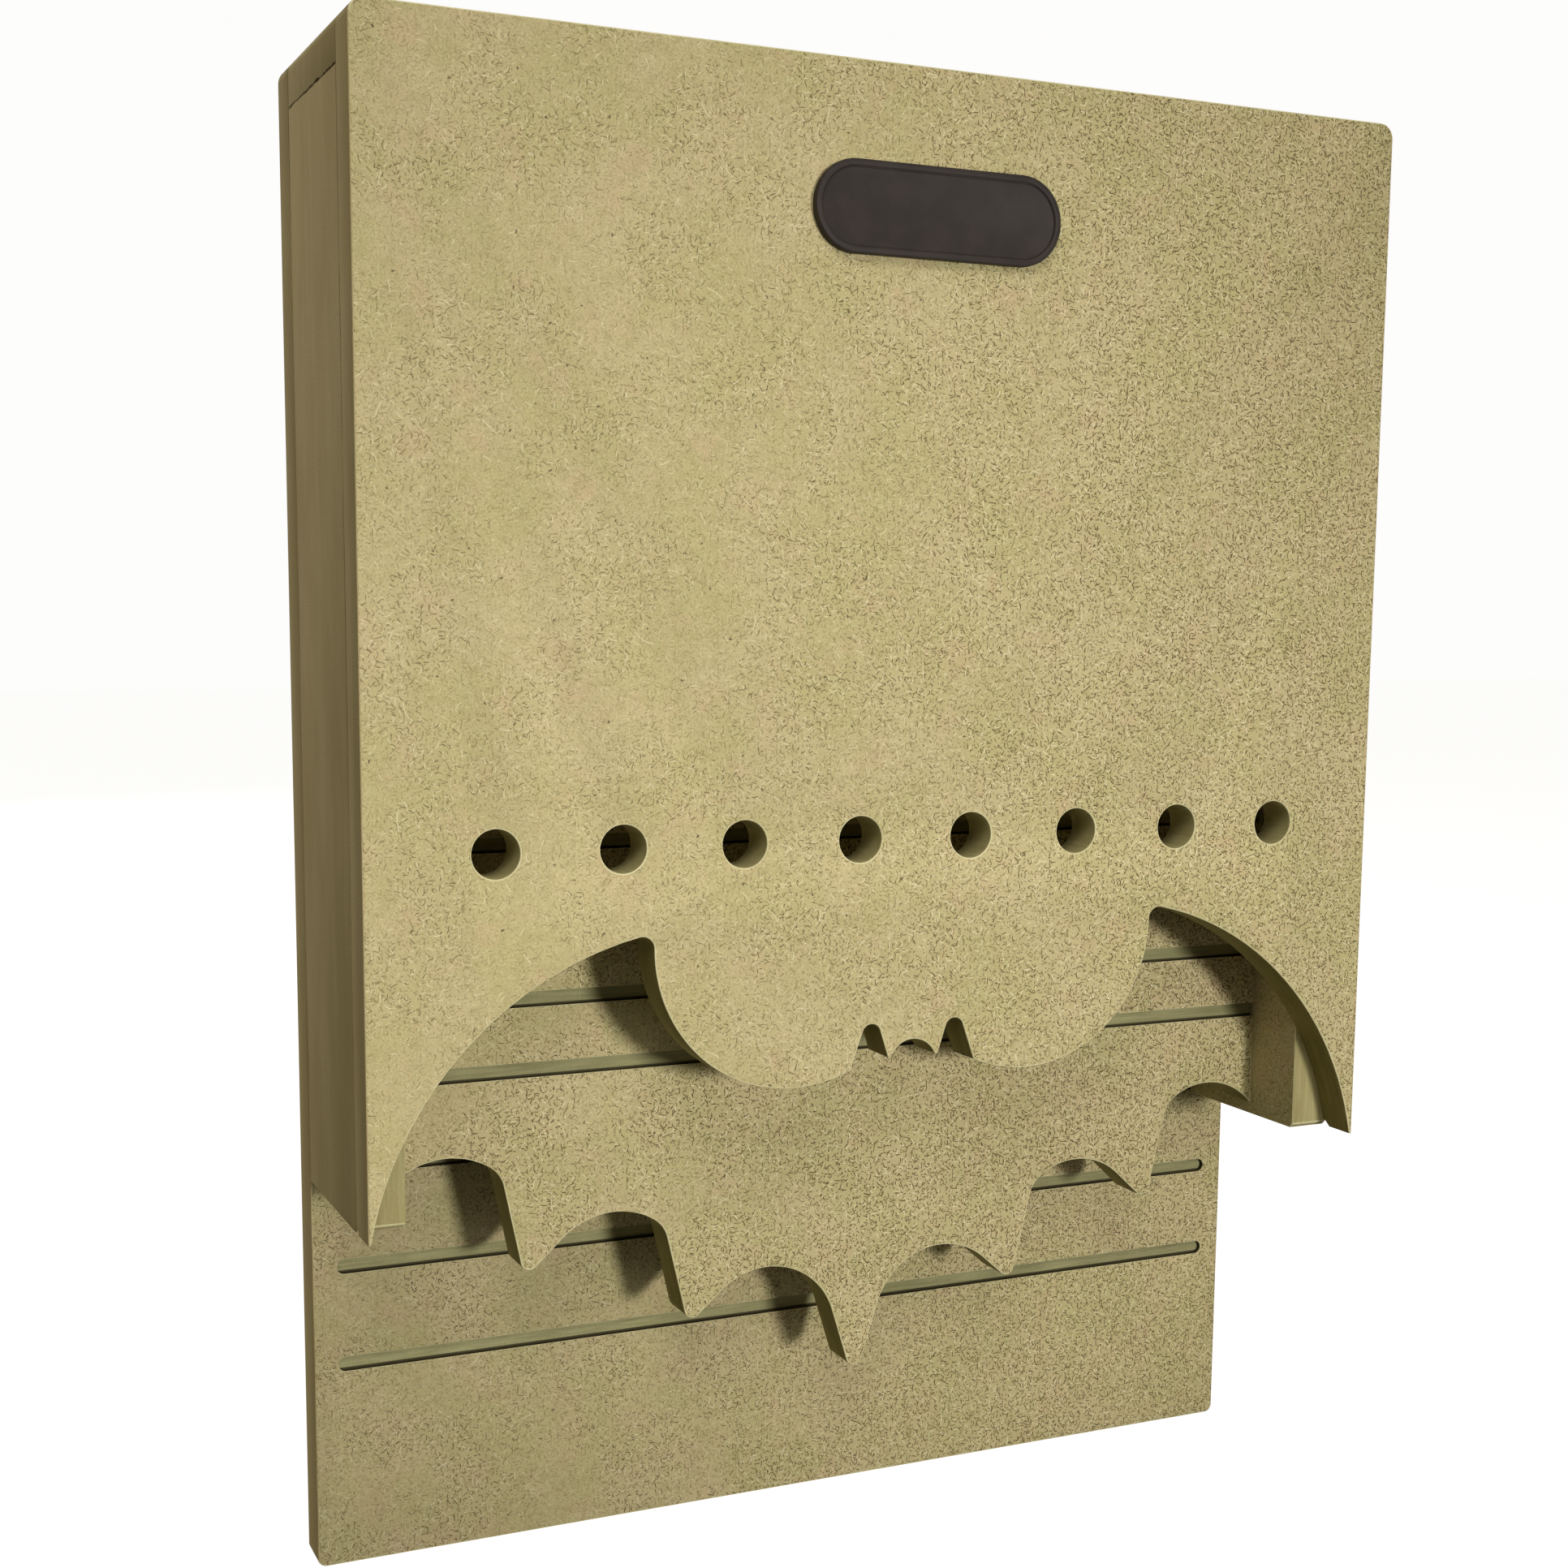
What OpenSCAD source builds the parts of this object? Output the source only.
// Two chamber bat house of moisture resistant fibreboard, hung flat on a wall.
// The origin is on the back face, midway between the two hanging points.
// X runs to the right as seen from the front, Y into the wall and Z up.

/* [Boards] */
// Thickness of every board
board_t = 15; // [12:0.5:18]
// Width of the house
house_w = 360; // [350:1:400]
// Depth of the house from its front face to the wall
house_d = 95; // [85:1:120]
// Height of the front board, from the top down to the wing tips
front_h = 354; // [345:1:400]
// Height of the back board, whose bare lower end is the landing
back_h = 487; // [450:1:600]
// Clear depth of the front chamber
front_chamber_d = 26; // [20:1:30]
// Clear height over the baffle, where bats change chambers
crossing_h = 28; // [15:1:60]
// Radius on the top corners of the boards
top_corner_r = 5; // [1:0.5:8]
// Radius on the foot corners of the back board
foot_corner_r = 3; // [1:0.5:8]

/* [Vent holes] */
// Number of vent holes in the row
vent_count = 8; // [2:1:9]
// Distance between neighbouring vent holes
vent_pitch = 40; // [25:1:44]
// Diameter of a vent hole
vent_d = 15; // [8:0.5:20]
// Height of the row below the top of the house
vent_drop = 239; // [225:1:245]

/* [Bat cutout, measured from the vent row and the middle] */
// Radius of the outer arc of a wing
wing_r = 110; // [109.5:0.5:125]
// Distance of that arc's centre in from the board's edge
wing_in = 109; // [100:1:109]
// Width of wood left at a wing tip
wing_tip_w = 0.8; // [0.5:0.1:3]
// Radius inside the peak of a wing
peak_r = 4; // [2:0.5:8]
// Radius of the round lobe between wing and head
lobe_r = 47.5; // [40:0.5:50]
// Middle of the lobe
lobe_x = 42.5; // [40:0.5:46]
// Lowest point of the lobe below the vent row
lobe_drop = 79; // [70:0.5:90]
// Middle of an ear
ear_x = 15.2; // [14:0.1:16]
// Radius of the ear's round top
ear_r = 3.3; // [2:0.1:4]
// Top of the ear below the vent row
ear_drop = 60.2; // [56:0.2:64]
// Where the ear's outer side meets the lobe
ear_root_x = 22.6; // [21:0.2:26]
// Place of the cusp between ear and head
cusp_x = 8.6; // [8:0.1:9.5]
// Lowest point of the cusp below the vent row
cusp_drop = 71.8; // [69:0.2:74]
// Radius of the cusp
cusp_r = 0.6; // [0.3:0.1:1]
// Radius of the head
head_r = 8.6; // [7:0.1:12]
// Top of the head below the vent row
head_drop = 66.2; // [62:0.2:68]

/* [Baffle edge, measured from the vent row and the middle] */
// Radius of a scallop
scallop_r = 26; // [24:0.5:27]
// Radius of the shoulder on a scallop's inner side
shoulder_r = 11; // [6:0.5:16]
// Direction of the shoulder seen from the scallop's centre
shoulder_turn = 123; // [110:1:140]
// Radius of a tooth's tip
tooth_r = 3; // [1.5:0.5:5]
// Tip of the middle tooth below the vent row
mid_tooth_drop = 190; // [180:1:205]
// Place of the inner tooth
inner_tooth_x = 60.7; // [59:0.1:63]
// Tip of the inner tooth below the vent row
inner_tooth_drop = 165; // [160:0.5:170]
// Place of the outer tooth
outer_tooth_x = 117.7; // [116:0.1:120]
// Tip of the outer tooth below the vent row
outer_tooth_drop = 141.5; // [138:0.5:148]
// Middle of the scallop beside the middle tooth
inner_scallop_x = 33.6; // [32:0.1:35]
// Crest of that scallop below the vent row
inner_scallop_drop = 150.7; // [146:0.1:156]
// Middle of the next scallop
middle_scallop_x = 88.8; // [87:0.1:91]
// Crest of that scallop below the vent row
middle_scallop_drop = 125.2; // [121:0.1:130]
// Middle of the outermost scallop
outer_scallop_x = 145.1; // [143:0.1:147]
// Crest of that scallop below the vent row
outer_scallop_drop = 101.6; // [98:0.1:105]

/* [Climbing grooves] */
// Height of a groove
groove_h = 5; // [3:0.5:8]
// Depth of a groove
groove_deep = 2; // [0.8:0.1:3]
// Distance between grooves on the back board
back_groove_pitch = 33.5; // [20:0.5:50]
// Lowest groove of the back board above its foot
back_groove_up = 69.5; // [40:0.5:90]
// Bare wood beyond a groove's end on the back board
back_groove_end = 8; // [5:0.5:20]
// Distance between grooves on the baffle
baffle_groove_pitch = 25; // [15:0.5:40]
// Lowest groove of the baffle below the vent row
baffle_groove_drop = 75; // [70:0.5:80]
// Distance from the lowest groove to the next one on the baffle
baffle_groove_gap = 23; // [15:0.5:30]

/* [Dowels] */
// First dowel of a side below the top of the house
dowel_first_drop = 58; // [45:1:70]
// Distance between dowels of a side
dowel_pitch = 120; // [60:1:122]
// First dowel of the baffle below the top of the house
baffle_dowel_first_drop = 68; // [60:1:75]
// Distance between dowels of the baffle
baffle_dowel_pitch = 130; // [60:1:132]
// Distance between the two dowels that hold a side up to the roof
top_dowel_pitch = 36; // [25:1:45]
// Diameter of the wooden dowels
dowel_d = 6; // [4:0.5:8]
// Length of a dowel
dowel_l = 24; // [18:1:30]
// Length of a dowel in the face of the board that hides it
dowel_face_l = 9; // [6:0.5:9]
// Glue space round a dowel
dowel_fit = 0.05; // [0.02:0.01:0.15]
// Glue space at each end of a dowel
dowel_end_gap = 0.5; // [0.2:0.1:1]

/* [Back screws] */
// First screw of a side below the top of the house
screw_first_drop = 38; // [34:1:45]
// Distance between screws of a side
screw_pitch = 140; // [60:1:145]
// Distance between the dowels, and between the screws, along the roof
roof_joint_pitch = 110; // [60:1:140]
// Thread diameter of the screws through the back board
screw_d = 4; // [3:0.5:5]
// Length of those screws
screw_l = 40; // [30:1:45]
// Room round a screw in the back board
screw_room = 0.25; // [0.1:0.05:0.5]
// Room round a screw in the board that it bites
screw_bite = 0.05; // [0.02:0.01:0.1]
// Depth of a screw head below the back face
screw_sink = 0.3; // [0.1:0.1:1]

/* [Hangers] */
// Distance between the two hanging points
hang_spacing = 240; // [160:5:280]
// Hanging points below the top of the house
hang_drop = 60; // [50:1:120]
// Width of a hanger plate
plate_w = 18; // [16:0.5:24]
// Thickness of a hanger plate
plate_t = 1.5; // [1:0.1:2.5]
// Reach of the plate above the hanging point
plate_up = 20; // [18:0.5:30]
// Reach of the plate below the hanging point
plate_down = 31; // [28:0.5:40]
// Diameter of the keyhole's round entry
key_d = 9; // [7:0.5:10]
// Width of the keyhole's slot
key_slot_w = 4.4; // [3.5:0.1:6]
// Distance from the entry up to the hanging point
key_rise = 11; // [9:0.5:14]
// Depth of the pocket that takes the wall screw's head
pocket_deep = 8; // [5:0.5:10]
// Room round a plate in its recess
plate_fit = 0.3; // [0.1:0.1:0.5]
// Thread diameter of the plate's screws
plate_screw_d = 3; // [2.5:0.5:3.5]
// Length of the plate's screws
plate_screw_l = 12; // [8:0.5:12]

/* [Plaque] */
// Width of the blank plaque
plaque_w = 86; // [60:1:120]
// Height of the plaque
plaque_h = 28; // [16:1:40]
// Thickness of the plaque
plaque_t = 3; // [1.5:0.5:5]
// Middle of the plaque to the right of the house's middle
plaque_x = 4; // [-40:1:40]
// Middle of the plaque below the top of the house
plaque_drop = 44; // [30:1:80]
// Width of its raised rim
plaque_rim_w = 2.2; // [1:0.1:4]
// Height of its raised rim
plaque_rim_h = 0.8; // [0.3:0.1:1.5]

/* [Wear] */
// Height of the crumbled corner behind each wing tip
tip_chip_h = 3.5; // [0.5:0.5:6]
// Reach of that corner into the front board
tip_chip_d = 3.5; // [0.5:0.5:6]
// Size of the worn corner at the foot of each side board
side_chip = 1.5; // [0.5:0.5:4]

/* [Hidden] */
$fn = 64;

// Largest turn between neighbouring points of an arc, in degrees
arc_step = 3;
// Overshoot of a cutting shape past the face that it cuts
over = 1;
// Points of an outline closer than this are one point
same_point = 0.001;

top_z = hang_drop;
vent_z = top_z - vent_drop;
foot_z = top_z - front_h;
back_foot_z = top_z - back_h;
roof_z = top_z - board_t;
front_y = -house_d;
front_in_y = front_y + board_t;
back_in_y = -board_t;
inner_d = house_d - 2 * board_t;
inner_w = house_w - 2 * board_t;
mid_y = back_in_y - inner_d / 2;
baffle_y = front_in_y + front_chamber_d;
baffle_top_z = roof_z - crossing_h;
side_h = roof_z - foot_z;
side_x = (house_w - board_t) / 2;

// Outlines are strings drawn tight round circles, each [x, up, radius].
// A positive radius is a convex corner of the wood, a negative one is concave,
// and a radius of 0 is a sharp corner. The wood lies to the left of the path.
function clamped_asin(v) = asin(max(-1, min(1, v)));
function heading(a, b) =
    let (across = b[0] - a[0], up = b[1] - a[1])
    atan2(up, across) - clamped_asin((b[2] - a[2]) / norm([across, up]));
function wrapped(angle) = angle - 360 * floor((angle + 5) / 360);
function arc_points(c, start, turn) =
    let (steps = max(1, ceil(abs(turn) / arc_step)))
    [for (k = [0:steps]) let (t = start + turn * k / steps) [c[0] + c[2] * sin(t), c[1] - c[2] * cos(t)]];
function corner_points(before, c, after) =
    let (start = heading(before, c), end = heading(c, after))
    let (turn = c[2] > 0 ? wrapped(end - start) : -wrapped(start - end))
    c[2] == 0 ? [[c[0], c[1]]] : arc_points(c, start, turn);
function thinned(p) =
    [for (i = [0:len(p) - 1]) if (norm(p[i] - p[(i + len(p) - 1) % len(p)]) > same_point) p[i]];
function outline(c) =
    let (n = len(c))
    thinned([for (i = [0:n - 1]) each corner_points(c[(i + n - 1) % n], c[i], c[(i + 1) % n])]);

// The same circles on the left, in the order in which the path meets them
function on_left(c) = [for (i = [len(c) - 1:-1:0]) [-c[i][0], c[i][1], c[i][2]]];

// The upper right of the two places at the given distances from two points
function meeting_point(a, a_dist, b, b_dist) =
    let (apart = norm(b - a))
    let (along = (a_dist * a_dist - b_dist * b_dist + apart * apart) / (2 * apart))
    let (off = sqrt(max(0, a_dist * a_dist - along * along)))
    let (u = (b - a) / apart)
    a + along * u + off * [-u[1], u[0]];

// A board standing in X and Z, grown into the wall from Y = 0
module upright(thickness) {
    translate([0, thickness, 0])
        rotate([90, 0, 0])
            linear_extrude(thickness)
                children();
}

// A bar with round ends, drawn flat about its middle
module round_bar(length, width) {
    square([length - width, width], center = true);
    for (side = [-1, 1])
        translate([side * (length - width) / 2, 0])
            circle(d = width);
}

// A worn corner along the joint of the front and side boards at their foot.
// It reaches into the wood along Y by the signed depth.
module foot_chip(depth, height) {
    away = depth > 0 ? -over : over;
    for (side = [-1, 1])
        translate([side * side_x - board_t / 2 - over, 0, 0])
            rotate([90, 0, 90])
                linear_extrude(board_t + 2 * over)
                    polygon([
                        [front_in_y + away, foot_z - over],
                        [front_in_y + depth, foot_z - over],
                        [front_in_y + depth, foot_z],
                        [front_in_y, foot_z + height],
                        [front_in_y + away, foot_z + height],
                    ]);
}

// Front board, with the head, ears, lobes and wings of a bat cut out of its foot
cut_z = foot_z - vent_z;
tip_x = house_w / 2 - wing_tip_w;
wing_x = house_w / 2 - wing_in;
wing_up = cut_z - sqrt(max(0, wing_r * wing_r - (tip_x - wing_x) * (tip_x - wing_x)));
lobe_up = lobe_r - lobe_drop;
peak = meeting_point([lobe_x, lobe_up], lobe_r + peak_r, [wing_x, wing_up], wing_r - peak_r);
ear_root_up = lobe_up - sqrt(lobe_r * lobe_r - (lobe_x - ear_root_x) * (lobe_x - ear_root_x));
bat_half = [
    [cusp_x, cusp_r - cusp_drop, cusp_r],
    [ear_x, -ear_drop - ear_r, -ear_r],
    [ear_root_x, ear_root_up, 0],
    [lobe_x, lobe_up, lobe_r],
    [peak[0], peak[1], -peak_r],
    [wing_x, wing_up, -wing_r],
    [tip_x, cut_z, 0],
    [house_w / 2, cut_z, 0],
];
top_corners = [
    [house_w / 2 - top_corner_r, vent_drop - top_corner_r, top_corner_r],
    [top_corner_r - house_w / 2, vent_drop - top_corner_r, top_corner_r],
];

module front_board() {
    head = [[0, -head_drop - head_r, -head_r]];
    color([0.78, 0.72, 0.5])
        difference() {
            translate([0, front_y, vent_z])
                upright(board_t)
                    polygon(outline(concat(on_left(bat_half), head, bat_half, top_corners)));
            for (i = [0:vent_count - 1])
                translate([(i - (vent_count - 1) / 2) * vent_pitch, front_y - over, vent_z])
                    rotate([-90, 0, 0])
                        cylinder(h = board_t + 2 * over, d = vent_d);
            front_dowel_bores();
            foot_chip(-tip_chip_d, tip_chip_h);
        }
}

// Baffle between the chambers, with a scalloped foot
function scallop(x, drop) = [x, -drop - scallop_r, -scallop_r];
function shoulder(x, drop) =
    let (reach = scallop_r - shoulder_r)
    [x + reach * cos(shoulder_turn), reach * sin(shoulder_turn) - drop - scallop_r, -shoulder_r];
function tooth(x, drop) = [x, tooth_r - drop, tooth_r];
baffle_end_x = inner_w / 2;
end_in = baffle_end_x - outer_scallop_x;
baffle_end_up = sqrt(max(0, scallop_r * scallop_r - end_in * end_in)) - outer_scallop_drop - scallop_r;
baffle_half = [
    scallop(inner_scallop_x, inner_scallop_drop),
    tooth(inner_tooth_x, inner_tooth_drop),
    shoulder(middle_scallop_x, middle_scallop_drop),
    scallop(middle_scallop_x, middle_scallop_drop),
    tooth(outer_tooth_x, outer_tooth_drop),
    shoulder(outer_scallop_x, outer_scallop_drop),
    scallop(outer_scallop_x, outer_scallop_drop),
    [baffle_end_x, baffle_end_up, 0],
    [baffle_end_x, baffle_top_z - vent_z, 0],
];
baffle_low_z = vent_z - baffle_groove_drop;
baffle_next_z = baffle_low_z + baffle_groove_gap;
baffle_groove_zs = concat([baffle_low_z], [for (z = [baffle_next_z:baffle_groove_pitch:baffle_top_z - groove_h]) z]);

module baffle_board() {
    color([0.72, 0.68, 0.48])
        difference() {
            translate([0, baffle_y, vent_z])
                upright(board_t)
                    polygon(outline(concat(on_left(baffle_half), [tooth(0, mid_tooth_drop)], baffle_half)));
            for (z = baffle_groove_zs)
                translate([-baffle_end_x - over, baffle_y - over, z - groove_h / 2])
                    cube([inner_w + 2 * over, groove_deep + over, groove_h]);
            baffle_dowel_bores();
        }
}

// Back board, with stopped grooves on its face and the hangers let into its back
back_groove_zs = [for (z = [back_foot_z + back_groove_up:back_groove_pitch:roof_z - groove_h]) z];
back_corners = [
    [house_w / 2 - foot_corner_r, back_foot_z + foot_corner_r, foot_corner_r],
    [house_w / 2 - top_corner_r, top_z - top_corner_r, top_corner_r],
    [top_corner_r - house_w / 2, top_z - top_corner_r, top_corner_r],
    [foot_corner_r - house_w / 2, back_foot_z + foot_corner_r, foot_corner_r],
];

module back_board() {
    color([0.7, 0.65, 0.45])
        difference() {
            translate([0, back_in_y, 0])
                upright(board_t)
                    polygon(outline(back_corners));
            for (z = back_groove_zs)
                translate([0, back_in_y - over, z])
                    upright(groove_deep + over)
                        round_bar(house_w - 2 * back_groove_end, groove_h);
            back_screw_places()
                screw_shape(screw_d, screw_l, screw_room);
            for (side = [-1, 1])
                translate([side * hang_spacing / 2, 0, 0])
                    hanger_recess();
            plate_screw_places()
                screw_shape(plate_screw_d, plate_screw_l, screw_bite);
        }
}

// Side boards and roof board, between the front and the back
module side_board(side) {
    color([0.6, 0.54, 0.38])
        difference() {
            translate([side * side_x - board_t / 2, back_in_y - inner_d, foot_z])
                cube([board_t, inner_d, side_h]);
            front_dowel_bores();
            top_dowel_bores();
            baffle_dowel_bores();
            back_screw_places()
                cylinder(h = screw_l + over, d = screw_d + 2 * screw_bite);
            foot_chip(side_chip, side_chip);
        }
}

module left_side_board() {
    side_board(-1);
}

module right_side_board() {
    side_board(1);
}

roof_corners = [
    [-house_w / 2, roof_z, 0],
    [house_w / 2, roof_z, 0],
    [house_w / 2 - top_corner_r, top_z - top_corner_r, top_corner_r],
    [top_corner_r - house_w / 2, top_z - top_corner_r, top_corner_r],
];

module top_board() {
    color([0.66, 0.6, 0.42])
        difference() {
            translate([0, front_in_y, 0])
                upright(inner_d)
                    polygon(outline(roof_corners));
            front_dowel_bores();
            top_dowel_bores();
            back_screw_places()
                cylinder(h = screw_l + over, d = screw_d + 2 * screw_bite);
        }
}

// Fixings in the edge of a side board, and places along the roof board in pitches
side_fixings = [0:2];
roof_fixings = [-1:1];

// Dowels, each drawn along Z from the end that the facing board hides
dowel_chamfer = 0.75;
module dowel() {
    rotate_extrude()
        polygon([
            [0, 0], [dowel_d / 2 - dowel_chamfer, 0], [dowel_d / 2, dowel_chamfer],
            [dowel_d / 2, dowel_l - dowel_chamfer], [dowel_d / 2 - dowel_chamfer, dowel_l], [0, dowel_l],
        ]);
}

module dowel_bore() {
    translate([0, 0, -dowel_end_gap])
        cylinder(h = dowel_l + 2 * dowel_end_gap, d = dowel_d + 2 * dowel_fit);
}

module front_dowel_places() {
    start_y = front_in_y - dowel_face_l;
    for (side = [-1, 1], k = side_fixings)
        translate([side * side_x, start_y, top_z - dowel_first_drop - k * dowel_pitch])
            rotate([-90, 0, 0])
                children();
    for (k = roof_fixings)
        translate([k * roof_joint_pitch, start_y, top_z - board_t / 2])
            rotate([-90, 0, 0])
                children();
}

module top_dowel_places() {
    for (side = [-1, 1], end = [-1, 1])
        translate([side * side_x, mid_y + end * top_dowel_pitch / 2, roof_z + dowel_face_l])
            rotate([180, 0, 0])
                children();
}

module baffle_dowel_places() {
    for (side = [-1, 1], k = side_fixings)
        translate([
            side * (baffle_end_x + dowel_face_l),
            baffle_y + board_t / 2,
            top_z - baffle_dowel_first_drop - k * baffle_dowel_pitch,
        ])
            rotate([0, -90 * side, 0])
                children();
}

module front_dowel_bores() {
    front_dowel_places()
        dowel_bore();
}

module top_dowel_bores() {
    top_dowel_places()
        dowel_bore();
}

module baffle_dowel_bores() {
    baffle_dowel_places()
        dowel_bore();
}

module front_dowels() {
    color([0.82, 0.7, 0.5])
        front_dowel_places()
            dowel();
}

module top_dowels() {
    color([0.82, 0.7, 0.5])
        top_dowel_places()
            dowel();
}

module baffle_dowels() {
    color([0.82, 0.7, 0.5])
        baffle_dowel_places()
            dowel();
}

// Countersunk screws, each drawn along Z from the top of its head, with a cross in
// the head whose sizes are parts of the thread's diameter
head_rim = 0.3;
cross_w_part = 0.2;
cross_l_part = 1.1;
cross_deep_part = 0.33;
module screw_shape(d, l, room) {
    rotate_extrude()
        polygon([
            [0, room > 0 ? -over - screw_sink : 0],
            [d + room, room > 0 ? -over - screw_sink : 0],
            [d + room, head_rim],
            [d / 2 + room, head_rim + d / 2],
            [d / 2 + room, l - d + room],
            [0, l + room],
        ]);
}

module countersunk_screw(d, l) {
    cross_w = cross_w_part * d;
    cross_l = cross_l_part * d;
    cross_deep = cross_deep_part * d;
    difference() {
        screw_shape(d, l, 0);
        for (turn = [0, 90])
            rotate(turn)
                translate([-cross_l / 2, -cross_w / 2, -over])
                    cube([cross_l, cross_w, cross_deep + over]);
    }
}

module back_screw_places() {
    for (side = [-1, 1], k = side_fixings)
        translate([side * side_x, -screw_sink, top_z - screw_first_drop - k * screw_pitch])
            rotate([90, 0, 0])
                children();
    for (k = roof_fixings)
        translate([k * roof_joint_pitch, -screw_sink, top_z - board_t / 2])
            rotate([90, 0, 0])
                children();
}

module back_screws() {
    color([0.75, 0.75, 0.76])
        back_screw_places()
            countersunk_screw(screw_d, screw_l);
}

// Keyhole hanger plates, let in just below the back face, with a screw near each end
// and room for the wall screw's head round the keyhole
plate_sink = 0.1;
plate_screw_in = 7;
pocket_room = 0.8;
plate_mid_z = (plate_up - plate_down) / 2;

module plate_outline(room) {
    translate([0, plate_mid_z])
        rotate(90)
            round_bar(plate_up + plate_down + 2 * room, plate_w + 2 * room);
}

module hanger_recess() {
    translate([0, -plate_sink - plate_t, 0])
        upright(plate_sink + plate_t + over)
            plate_outline(plate_fit);
    translate([0, -pocket_deep, 0])
        upright(pocket_deep)
            translate([0, -key_rise / 2])
                rotate(90)
                    round_bar(key_rise + key_d + 2 * pocket_room, key_d + 2 * pocket_room);
}

module plate_screw_places() {
    for (side = [-1, 1], z = [plate_up - plate_screw_in, plate_screw_in - plate_down])
        translate([side * hang_spacing / 2, -plate_sink, z])
            rotate([90, 0, 0])
                children();
}

module hanger_plate(side) {
    color([0.7, 0.7, 0.72])
        difference() {
            translate([side * hang_spacing / 2, -plate_sink - plate_t, 0])
                upright(plate_t)
                    difference() {
                        plate_outline(0);
                        translate([0, -key_rise])
                            circle(d = key_d);
                        translate([-key_slot_w / 2, -key_rise])
                            square([key_slot_w, key_rise]);
                        circle(d = key_slot_w);
                    }
            plate_screw_places()
                screw_shape(plate_screw_d, plate_screw_l, screw_room);
        }
}

module left_hanger_plate() {
    hanger_plate(-1);
}

module right_hanger_plate() {
    hanger_plate(1);
}

module hanger_screws() {
    color([0.75, 0.75, 0.76])
        plate_screw_places()
            countersunk_screw(plate_screw_d, plate_screw_l);
}

// Blank plaque bonded to the front
module blank_plaque() {
    field_w = plaque_w - 2 * plaque_rim_w;
    field_h = plaque_h - 2 * plaque_rim_w;
    color([0.2, 0.15, 0.14])
        translate([plaque_x, front_y - plaque_t, top_z - plaque_drop])
            difference() {
                upright(plaque_t)
                    round_bar(plaque_w, plaque_h);
                translate([0, -over, 0])
                    upright(plaque_rim_h + over)
                        round_bar(field_w, field_h);
            }
}

back_board();
front_board();
left_side_board();
right_side_board();
top_board();
baffle_board();
front_dowels();
top_dowels();
baffle_dowels();
back_screws();
left_hanger_plate();
right_hanger_plate();
hanger_screws();
blank_plaque();
